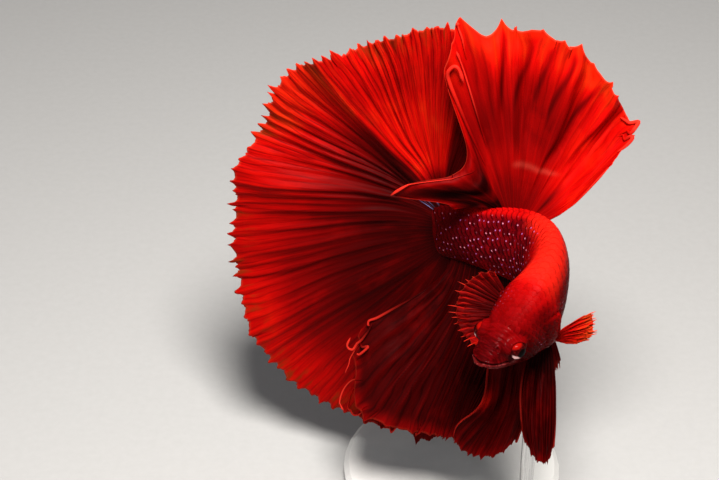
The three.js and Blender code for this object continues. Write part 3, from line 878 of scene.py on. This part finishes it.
def strand_parts(fin):
    """Tapered rolls that follow the fin's own surface."""
    steps = np.linspace(0, 1, STRAND_STEPS)
    taper = np.sqrt(np.maximum(1 - np.abs(2 * steps - 1) ** 8, 0.01))
    turn = np.linspace(0, 360, STRAND_SIDES, endpoint=False)
    faces = grid_faces(STRAND_STEPS, STRAND_SIDES, ring=True)
    for path, radius, knob in fin.strands:
        u, r, out = smooth(np.column_stack([np.linspace(0, 1, len(path)), path]), steps)
        normal = fin.ray(u)[4]
        line = fin.point(u, r) + along(out, normal)
        line[1:-1] = (line[:-2] + line[1:-1] + line[2:]) / 3
        forward = unit(np.gradient(line, axis=0))
        first = unit(np.cross(forward, normal))
        size = taper * (radius * (0.5 + 0.5 * np.sin(np.pi * steps)) + knob * bump(steps, 0.94, 0.05))
        ring = turned(turn, first[:, None], np.cross(forward, first)[:, None])
        points = line[:, None] + along(size[:, None], ring)
        # how much painted highlight each point of the strand takes
        roll = fin.lit * ease(steps, 0.1, 0.7)
        spread = [v[:, None].repeat(STRAND_SIDES, 1) for v in (u, r, 0 * u + 0.5, roll)]
        yield points.reshape(-1, 3), faces, fin_values(fin, *spread)


def make_fin(node, fins, material):
    groups = [group for fin in fins for group in (sheet_parts(fin), *strand_parts(fin))]
    points = np.concatenate([group[0] for group in groups])
    starts = np.cumsum([0] + [len(group[0]) for group in groups])
    faces = np.concatenate([group[1] + start for group, start in zip(groups, starts)])
    values = {key: np.concatenate([group[2][key].ravel() for group in groups]) for key in groups[0][2]}
    values["rays"] = np.full(len(points), fins[0].rays)
    attach(make_piece("betta_" + node, points, faces, material, values), "fin", node)


# Rays of the dorsal fin: place along its base, angle from upright towards +X, length, how much further
# the ray leans where it leaves the back. The rear rays are short, and then trail behind as a loose point.
DORSAL_RAYS = [
    (0, 46, 12.2, 42), (0.12, 47, 14.6, 28), (0.16, 45, 17.9, 22), (0.34, 29, 22.5, 6),
    (0.46, 15.7, 25.8, 3), (0.55, 5.5, 27.6, 2), (0.62, -1.5, 27, 1), (0.7, -9, 27, 0),
    (0.745, -16, 29, -2), (0.768, -19, 26, -3), (0.785, -24, 23, -4), (0.83, -31, 11, -4),
    (0.88, -54, 9.8, 0), (0.94, -79, 16.2, 20), (0.97, -81, 8, 20), (1, -89, 6.2, 20),
]
# Points of its edge: place along the base, height, and how fast each falls off.
DORSAL_SPIKES = [
    (0.135, 1.8, 0.008), (0.18, 1.8, 0.014), (0.3, 0.5, 0.008), (0.348, 1, 0.01), (0.4, 0.4, 0.008),
    (0.45, 1.7, 0.016), (0.503, 0.9, 0.01), (0.56, 0.9, 0.012), (0.615, 1.1, 0.01), (0.655, 2.5, 0.018),
    (0.733, 2, 0.014), (0.765, 1.2, 0.01), (0.785, 0.9, 0.011),
]
# Creases of its outer half, in painted shade: place at the edge, and place further in.
DORSAL_CREASES = [(0.37, 0.4), (0.46, 0.49), (0.52, 0.55), (0.57, 0.62), (0.65, 0.68)]
DORSAL_STRANDS = [
    ([(0.79, 0.35, 0.1), (0.79, 0.6, 0.15), (0.787, 0.8, 0.2), (0.783, 0.94, 0.4), (0.775, 0.95, 0.7),
      (0.768, 0.88, 0.9), (0.768, 0.8, 0.8)], 0.3, 0.16),
    ([(0.765, 0.4, 0.25), (0.762, 0.6, 0.3), (0.76, 0.8, 0.3), (0.762, 0.94, 0.4)], 0.14, 0.14),
    ([(0.745, 0.82, 0.15), (0.742, 0.92, 0.2), (0.739, 1.0, 0.3)], 0.15, 0.3),
    ([(0.835, 0.75, 0.1), (0.86, 0.9, 0.15), (0.89, 0.96, 0.2), (0.92, 0.98, 0.2), (0.935, 1.02, 0.25)],
     0.08, 0.26),
    ([(0.004, 0.2, 0.1), (0.004, 0.5, 0.1), (0.01, 0.8, 0.1), (0.03, 0.98, 0.15)], 0.14, 0),
    ([(0.19, 0.86, 0.1), (0.174, 0.93, 0.3), (0.17, 0.98, 0.5), (0.184, 1.02, 0.7), (0.206, 0.98, 0.6),
      (0.23, 0.95, 0.3)], 0.3, 0),
    ([(0.19, 0.84, 0.1), (0.155, 0.94, 0.3), (0.142, 0.99, 0.5), (0.135, 0.95, 0.5), (0.14, 0.87, 0.3)],
     0.3, 0),
]


class DorsalFin(Fin):
    rays = 22
    columns = 18
    rows = 90
    pleats = ((7, 0.5, 0.25, 0.9), (14, 0.24, 0.5, 1.0), (11, 0.2, 0.02, 0.35), (44, 0.05, 0.55, 1.0))
    curl = 0.45
    silk = 0.35
    seed = 2
    table = DORSAL_RAYS
    strands = DORSAL_STRANDS

    def ray(self, t):
        s = lerp(DORSAL["start"], DORSAL["end"], t)
        upright = turned(DORSAL["lean"], Z, Y)
        start, tip, length = self.fan(t, upright, X)
        root = place(s, 0, smooth(STATIONS, s)[0] - 0.5)
        return root, unit(0.3 * axes(s)[2] + start), tip, length, np.cross(X, upright)

    def wave(self, t, r):
        broad = 1.5 * np.sin(14 * t + 1.2 * r + 0.4) + 0.7 * np.sin(31 * t - 2 * r)
        return r**1.2 * broad * lerp(0.6, 1, ease(t, 0, 0.3))

    def edge(self, u):
        spikes = [height * np.exp(-np.abs(u - at) / wide) for at, height, wide in DORSAL_SPIKES]
        return np.max(spikes, axis=0)

    def tone(self, u, r):
        # Painted light and shade: the rear part, a spot near the root, the middle and the creases in painted
        # shade, and deeper towards the root; the orange near the edge is the fin's own colour
        orange = 0.22 * ease(r, 0.72, 0.98) * between(u, 0.2, 0.4, 0.68, 0.8)
        trailing_shade = 0.34 * ease(u, 0.79, 0.84)
        hollow_shade = 0.3 * bump(u, 0.24, 0.025) * bump(r, 0.12, 0.14)
        shade = (0.12 + 0.2 * bump(r, 0.5, 0.2)) * ease(u, 0.28, 0.44) * fade(r, 0.7, 0.9)
        outwards = ease(r, 0.55, 1)
        folded = sum(bump(u, lerp(inner, outer, outwards), 0.009) for outer, inner in DORSAL_CREASES)
        fold_shade = 0.3 * folded * between(r, 0.5, 0.7, 0.9, 1)
        return 0.4 + 0.24 * ease(r, 0.05, 0.35) + orange - trailing_shade - hollow_shade - shade - fold_shade

    def tint_and_glint(self, u, r):
        # a pale pink streak across the fin, a painted highlight
        line = 0.27 + 1.5 * np.maximum(0.5 - u, 0) ** 2
        return 0.13 * bump(r, line, 0.016) * between(u, 0.27, 0.37, 0.58, 0.67)

    def sheen(self, u, r):
        return self.silk * lerp(0.55, 1, ease(r, 0.35, 0.75))


# Rays of the anal fin: place along its base, angle from straight down towards -X, length.
ANAL_RAYS = [
    (0, 23, 16), (0.2, 22, 21), (0.42, 19, 26.5), (0.62, 16, 28.9), (0.8, 19, 29.1), (0.86, 26, 29),
    (0.92, 34, 28.5), (1, 52, 19),
]
ANAL_STRANDS = [
    ([(0.997, 0.3, 0.05), (0.997, 0.6, 0.1), (0.997, 0.8, 0.3), (1.0, 0.9, 0.5), (0.993, 0.86, 0.8)],
     0.22, 0.1),
    ([(0.994, 0.84, 0.6), (0.985, 0.89, 0.8), (0.98, 0.97, 0.8), (0.987, 1.07, 0.9), (1.0, 1.08, 1.0)],
     0.22, 0.1),
    ([(0.98, 0.96, 0.4), (0.974, 0.9, 0.8), (0.966, 0.82, 1.0), (0.965, 0.89, 1.2), (0.969, 0.91, 1.2)],
     0.22, 0.1),
    ([(0.98, 0.92, 0.3), (0.976, 0.98, 0.4), (0.967, 1.04, 0.4), (0.963, 1.1, 0.4)], 0.1, 0),
    ([(0.935, 0.9, 0.1), (0.948, 1.02, 0.2), (0.95, 1.12, 0.4), (0.944, 1.16, 0.6), (0.93, 1.1, 0.6)],
     0.13, 0.1),
    ([(0.01, 0.7, 0.1), (0.01, 0.98, 0.1), (0.06, 1.0, 0.2), (0.12, 1.0, 0.2)], 0.14, 0),
]


class AnalFin(Fin):
    rays = 26
    columns = 14
    rows = 90
    spike = 0.9
    pleats = ((13, 0.4, 0.05, 0.6), (26, 0.22, 0.3, 0.95), (52, 0.07, 0.5, 1.0))
    thick = 0.11
    lit = 0.75
    silk = 0.8
    seed = 3
    strands = ANAL_STRANDS

    def ray(self, t):
        s = lerp(ANAL["start"], ANAL["end"], t)
        angle, length = smooth(ANAL_RAYS, t)
        tip = turned(angle, -turned(lerp(ANAL["front_lean"], ANAL["lean"], t), Z, Y), -X)
        root = place(s, 0, 0.5 - smooth(STATIONS, s)[1])
        _, left, up = axes(s)
        return root, unit(0.2 * tip - 0.8 * up), tip, length, -left

    def wave(self, t, r):
        broad = 1.2 * np.sin(15 * t + 1.5 * r) + 0.4 * np.sin(28 * t + 2 * r)
        return r**1.2 * broad * lerp(0.2, 1, ease(t, 0.25, 0.8))

    def tone(self, u, r):
        # painted shade: the fin hangs under the body, away from the light, lighter only towards its edge and
        # rear
        return 0.04 * ease(r, 0.1, 0.9) + 0.2 * ease(r, 0.9, 1) + 0.03 * ease(u, 0.6, 1)


# Rays of the tail fin, which opens past a half circle: angle above the fin's middle, and length. The
# first lie hidden behind the anal fin and the last behind the dorsal fin.
CAUDAL_RAYS = [
    (-109, 12), (-98, 16), (-90, 34.4), (-80, 33.6), (-62, 36.8), (-48, 37.9), (-33, 37.1),
    (-15, 35), (0, 33.4), (10, 33.1), (22, 31.5), (34, 32), (48, 30.6), (64, 29), (80, 29.5),
    (88, 29.8), (95, 28), (105, 22), (119, 14),
]


class CaudalFin(Fin):
    first, last = -0.1, 1.1
    rays = 62
    spike = 1.7
    web = 0.06
    hem = (
        (0, 0), (0.47, 0), (0.515, 0.6), (0.54, -0.2), (0.6, -0.2), (0.65, 0.4), (0.73, 0.4), (0.76, -0.3),
        (1, 0),
    )
    pleats = ((16, 0.2, 0.02, 0.3), (31, 0.24, 0.14, 0.8), (62, 0.2, 0.4, 1.0), (124, 0.05, 0.6, 1.0))
    seed = 4
    strands = (
        ([(0.14, 0.82, 0.2), (0.135, 0.93, 0.3), (0.12, 0.99, 0.5), (0.11, 0.96, 0.9), (0.12, 0.92, 0.8)],
         0.13, 0.08),
        ([(0.085, 0.99, 0.1), (0.07, 1.0, 0.3), (0.055, 0.98, 0.3)], 0.12, 0.05),
    )

    def degrees(self, t):
        return lerp(CAUDAL["low"], CAUDAL["high"], t)

    def warp(self, u, r):
        middle = 0.14 * bump(u, 0.5, 0.18) * np.maximum(1 - r, 0) ** 1.8
        return middle + 0.045 * bump(u, 0.79, 0.07) * fade(r, 0.1, 0.5)

    def ray(self, t):
        degrees = self.degrees(t)
        angle = np.radians(degrees)
        fore, _, up = axes(BODY_LENGTH)
        upright = turned(CAUDAL["lean"], Z, Y) + 0.04 * X
        middle = np.array([-0.975, 0.2, 0.03])
        root = place(BODY_LENGTH, 0, CAUDAL["half"] * np.sin(angle) - 0.1, 0.9 - np.cos(angle))
        tip = unit(turned(degrees, middle, upright))
        length = smooth(CAUDAL_RAYS, degrees)[0]
        return root, turned(0.9 * degrees, -fore, up), tip, length, unit(np.cross(upright, middle))

    def wave(self, t, r):
        degrees = self.degrees(t)
        fold = 2.2 * between(degrees, 41, 50, 50, 88)
        broad = 0.9 * np.sin(np.radians(9 * degrees + 60 * r))
        broad += 0.5 * np.sin(np.radians(17 * degrees - 90 * r + 40))
        return r**1.15 * (fold + broad - 2 * r * np.cos(np.radians(degrees)))

    def folds(self, u, r):
        ridges = 0.9 * bump(u, 0.512 - 0.012 * r, 0.011) * between(r, 0.15, 0.4, 0.8, 1)
        ridges += 0.5 * (bump(u, 0.578, 0.006) + bump(u, 0.598, 0.006)) * bump(r, 0.6, 0.25)
        return super().folds(u, r) * lerp(0.6, 0.85, ease(u, 0.5, 0.62)) + ridges

    def tone(self, u, r):
        # Painted light and shade: deep at the root and beside the anal fin, deeper over the lower half,
        # brighter over the upper half, along the fold and on the folded-over top lobe; the margin's orange
        # is partly the fin's own colour
        margin = 0.06 + 0.16 * bump(u, 0.28, 0.12) + 0.2 * bump(u, 0.61, 0.06)
        lobe = between(u, 0.72, 0.735, 0.96, 1) * ease(r, 0.1, 0.3)
        lower = 0.05 + (0.37 - 0.08 * bump(u, 0.42, 0.08)) * ease(r, 0.38, 0.95)
        upper = 0.05 + 0.5 * ease(r, 0.2, 0.9) + 0.16 * bump(u, 0.67, 0.05) * ease(r, 0.5, 0.8)
        upper += 0.25 * bump(u, 0.712, 0.018) * ease(r, 0.5, 0.75)
        plain = lerp(lower, upper, ease(u, 0.25, 0.55)) * lerp(0.3, 1, ease(u, 0.04, 0.16))
        bright = 0.72 - 0.16 * bump(r, 0.76, 0.12)
        return lerp(plain * ease(r, 0, 0.14) + margin * ease(r, 0.68, 0.98), bright, lobe)

    def sheen(self, u, r):
        return lerp(0.45, 0.95, ease(u, 0.45, 0.62)) * lerp(0.6, 1, ease(r, 0.4, 0.9))

    def tint_and_glint(self, u, r):
        # blue-white and violet streaks near the root, the fin's own colour
        white = bump(u, 0.548, 0.004) + 0.5 * bump(u, 0.575, 0.003)
        violet = 0.6 * bump(u, 0.74, 0.008) + 0.3 * bump(u, 0.63, 0.01)
        return np.clip(white + violet, 0, 1) * bump(r, 0.085, 0.04)


class PelvicFin(Fin):
    """A long leaf from the belly. side is 1 on the fish's left and -1 on its right."""

    rays = 9
    columns = 14
    bow = 1
    spike = 0.7
    pleats = ((4, 0.35, 0.15, 0.85), (9, 0.16, 0.3, 0.95), (27, 0.05, 0.2, 1.0))
    curl = 0.5
    silk = 0.55
    strands = (
        ([(0.01, 0.06, 0.1), (0.01, 0.35, 0.15), (0.01, 0.7, 0.15), (0.015, 0.99, 0.1)], 0.16, 0),
        ([(0.99, 0.55, 0.1), (0.985, 0.8, 0.2), (0.97, 0.98, 0.5), (0.93, 0.99, 0.7)], 0.12, 0.05),
    )

    def ray(self, t):
        upright = turned(self.lean, Z, Y)
        across = self.side * PELVIC["apart"] / 2 + (t - 0.5) * PELVIC["wide"]
        root = place(PELVIC["at"], across, 0.3 - smooth(STATIONS, PELVIC["at"])[1])
        return root, *self.fan(t, -upright, X), np.cross(X, upright)

    def wave(self, t, r):
        return r * 0.7 * np.sin(9 * t + 2 * r + self.side)

    def warp(self, u, r):
        return 0.26 * (1 - u) * bump(r, 0.6, 0.26) * (self.side < 0)

    def tone(self, u, r):
        # painted shade under the body, deeper on the left fin, and a painted highlight patch on the right
        # fin
        plain = 0.02 + 0.08 * ease(r, 0, 0.6) + 0.1 * ease(r, 0.9, 1)
        if self.side > 0:
            return plain - 0.06
        return plain + 0.7 * bump(u, 0.36 - 0.5 * r, 0.1) * bump(r, 0.6, 0.09)


class PectoralFin(Fin):
    """A short round fan from behind the gill cover, whose ray tips stand free of the web.

    side is 1 on the fish's left, -1 on its right and 0 for the left fin's lower part. outwards and upwards
    span the fan, at is its place along the body, and roots the angles round it of the first and last ray.
    """

    rays = 18
    rows = 40
    bow = 1
    spike = 0.5
    web = 0.6
    hem = ((0, -1.5), (1, -1.5))
    lit = 0.28
    pleats = ((18, 0.1, 0.1, 1.0), (6, 0.15, 0.2, 1.0))
    curl = 0.1
    thick = 0.09
    silk = 0.9

    def ray(self, t):
        angle = lerp(*self.roots, t)
        root = place(self.at, *section(self.at, angle if self.side >= 0 else 180 - angle))
        normal = unit(np.cross(self.outwards, self.upwards))
        return root, *self.fan(t, self.outwards, self.upwards), normal

    def wave(self, t, r):
        return 0.6 * r * r * np.sin(5 * t)

    def tone(self, u, r):
        streaks = 0.3 * crest(u, self.rays) * ease(r, 0.45, 0.85)
        # painted light and shade: the left fin lit, its lower part in shade, and the right fin in shade with
        # a lit patch by its first rays; the streaks along the rays are their own colour
        if not self.side:
            return 0.1 + 0.1 * r + 0 * u
        if self.side > 0:
            return 0.6 + 0.2 * ease(r, 0.1, 0.8) + streaks
        return 0.03 + 0.07 * ease(r, 0.1, 0.5) + streaks + 0.3 * fade(u, 0.1, 0.25) * ease(r, 0.5, 0.9)

    @property
    def strands(self):
        rng = np.random.default_rng(self.seed)
        tips = []
        for u in np.clip(np.arange(self.rays + 1) / self.rays, 0.01, 0.99):
            tip = u + rng.uniform(-0.15, 0.15) / self.rays
            reach = rng.uniform(1.0, 1.12)
            tips.append(([(u, 0.4, 0.02), (u, 0.65, 0.03), (u, 0.88, 0.04), (tip, reach, 0.05)], 0.11, 0))
        return tips


# Rays of the paired fins: place across the fin, angle, length, how much further the ray turns at its root.
# The angles of the pelvic fins are from straight down towards +X, of the others from outwards to upwards.
RIGHT_PELVIC_RAYS = [(0, -30, 20.5, -38), (0.35, -20, 23, -4), (0.7, -12, 21.5, 4), (1, -4, 18.2, 16)]
LEFT_PELVIC_RAYS = [(0, -8, 16.2, -32), (0.4, -3, 18.8, -12), (0.75, 0.5, 18.8, 3), (1, 2.5, 16.2, 10)]
RIGHT_PECTORAL_RAYS = [
    (0, -40, 8.95, 0), (0.3, -12, 10.65, 0), (0.6, 15, 10.75, 0), (0.85, 40, 9.75, 0), (1, 60, 8.15, 0),
]
LEFT_PECTORAL_RAYS = [(0, -12, 5.85, -26), (0.3, 2, 7.45, -12), (0.7, 20, 8.15, 6), (1, 32, 8.25, 20)]
LOWER_PECTORAL_RAYS = [(0, -92, 9.25, 10), (0.5, -84, 10.25, 10), (1, -74, 8.85, 10)]


def paired_fins():
    right_leaf = PelvicFin(side=-1, table=RIGHT_PELVIC_RAYS, lean=16, lit=0.4, seed=5)
    left_leaf = PelvicFin(side=1, table=LEFT_PELVIC_RAYS, lean=36, lit=0.2, seed=6)
    plane = {"outwards": -X, "upwards": turned(30, Z, Y)}
    right = PectoralFin(side=-1, table=RIGHT_PECTORAL_RAYS, at=14.8, roots=(-56, -34), seed=7, **plane)
    plane = {"outwards": np.array([0.97, 0.1, 0]), "upwards": Z}
    left = PectoralFin(side=1, table=LEFT_PECTORAL_RAYS, at=12.8, roots=(-48, -38), seed=8, **plane)
    lower = PectoralFin(side=0, table=LOWER_PECTORAL_RAYS, at=14.8, roots=(-70, -58), seed=9, **plane)
    pelvic = {"pelvic_fin_right": [right_leaf], "pelvic_fin_left": [left_leaf]}
    return pelvic | {"pectoral_fin_right": [right], "pectoral_fin_left": [left, lower]}


def make_fins(material):
    middle = {"dorsal_fin": [DorsalFin()], "anal_fin": [AnalFin()], "caudal_fin": [CaudalFin()]}
    for node, fins in (middle | paired_fins()).items():
        make_fin(node, fins, material)


# ---------------- stand, floor, light and camera


def finish_stand():
    for name, material in (("stand_base", base_look()), ("stand_rod", rod_look())):
        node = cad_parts[name]
        node.data.materials.clear()
        node.data.materials.append(material)


def make_floor(material):
    reach = 3000
    corners = np.array([(-1, -1), (1, -1), (1, 1), (-1, 1)]) * reach
    points = stacked(*corners.T, STAND[2] - 0.02)
    floor = make_piece("floor", points, np.array([[0, 1, 2, 3]]), material)


def add_light(name, where, aim, size, watts, colour):
    """A round light that looks at its aim from where it is, as seen from the aim."""
    data = bpy.data.lights.new(name, "AREA")
    data.shape = "DISK"
    data.size = size * MM
    data.energy = watts
    data.color = colour
    light = add_object(name, data)
    light.location = (aim + where) * MM
    light.rotation_mode = "QUATERNION"
    light.rotation_quaternion = Vector(where).to_track_quat("Z", "Y")


def light_scene():
    aim = SNOUT + [-8, 34, 2]
    add_light("key", (20, -120, 275), aim, 120, 2.6, (1.0, 0.97, 0.94))
    add_light("fill", (-260, -260, 160), aim, 300, 0.3, (0.95, 0.97, 1.0))
    world = bpy.data.worlds.new("studio")
    bpy.context.scene.world = world
    world.use_nodes = True
    background = world.node_tree.nodes["Background"]
    background.inputs["Color"].default_value = (0.95, 0.96, 1.0, 1)
    background.inputs["Strength"].default_value = 0.16


CAMERA_BACK = np.array([16.88, 199.4, -167.8])  # from the camera to the snout
CAMERA_DOWN = 36.13  # degrees below level
CAMERA_LENS = 92.38


def add_camera():
    data = bpy.data.cameras.new("camera")
    data.lens = CAMERA_LENS
    data.sensor_width = 36
    camera = add_object("camera", data)
    camera.location = (SNOUT - CAMERA_BACK) * MM
    camera.rotation_euler = (math.radians(90 - CAMERA_DOWN), 0, 0)
    bpy.context.scene.camera = camera


bpy.context.scene.view_settings.view_transform = "Standard"
add_camera()
make_skin(skin_look())
make_scales(scale_look())
eye_material = eye_look()
make_eye(1, "eye_left", eye_material)
make_eye(-1, "eye_right", eye_material)
make_fins(fin_look())
finish_stand()
make_floor(floor_look())
light_scene()
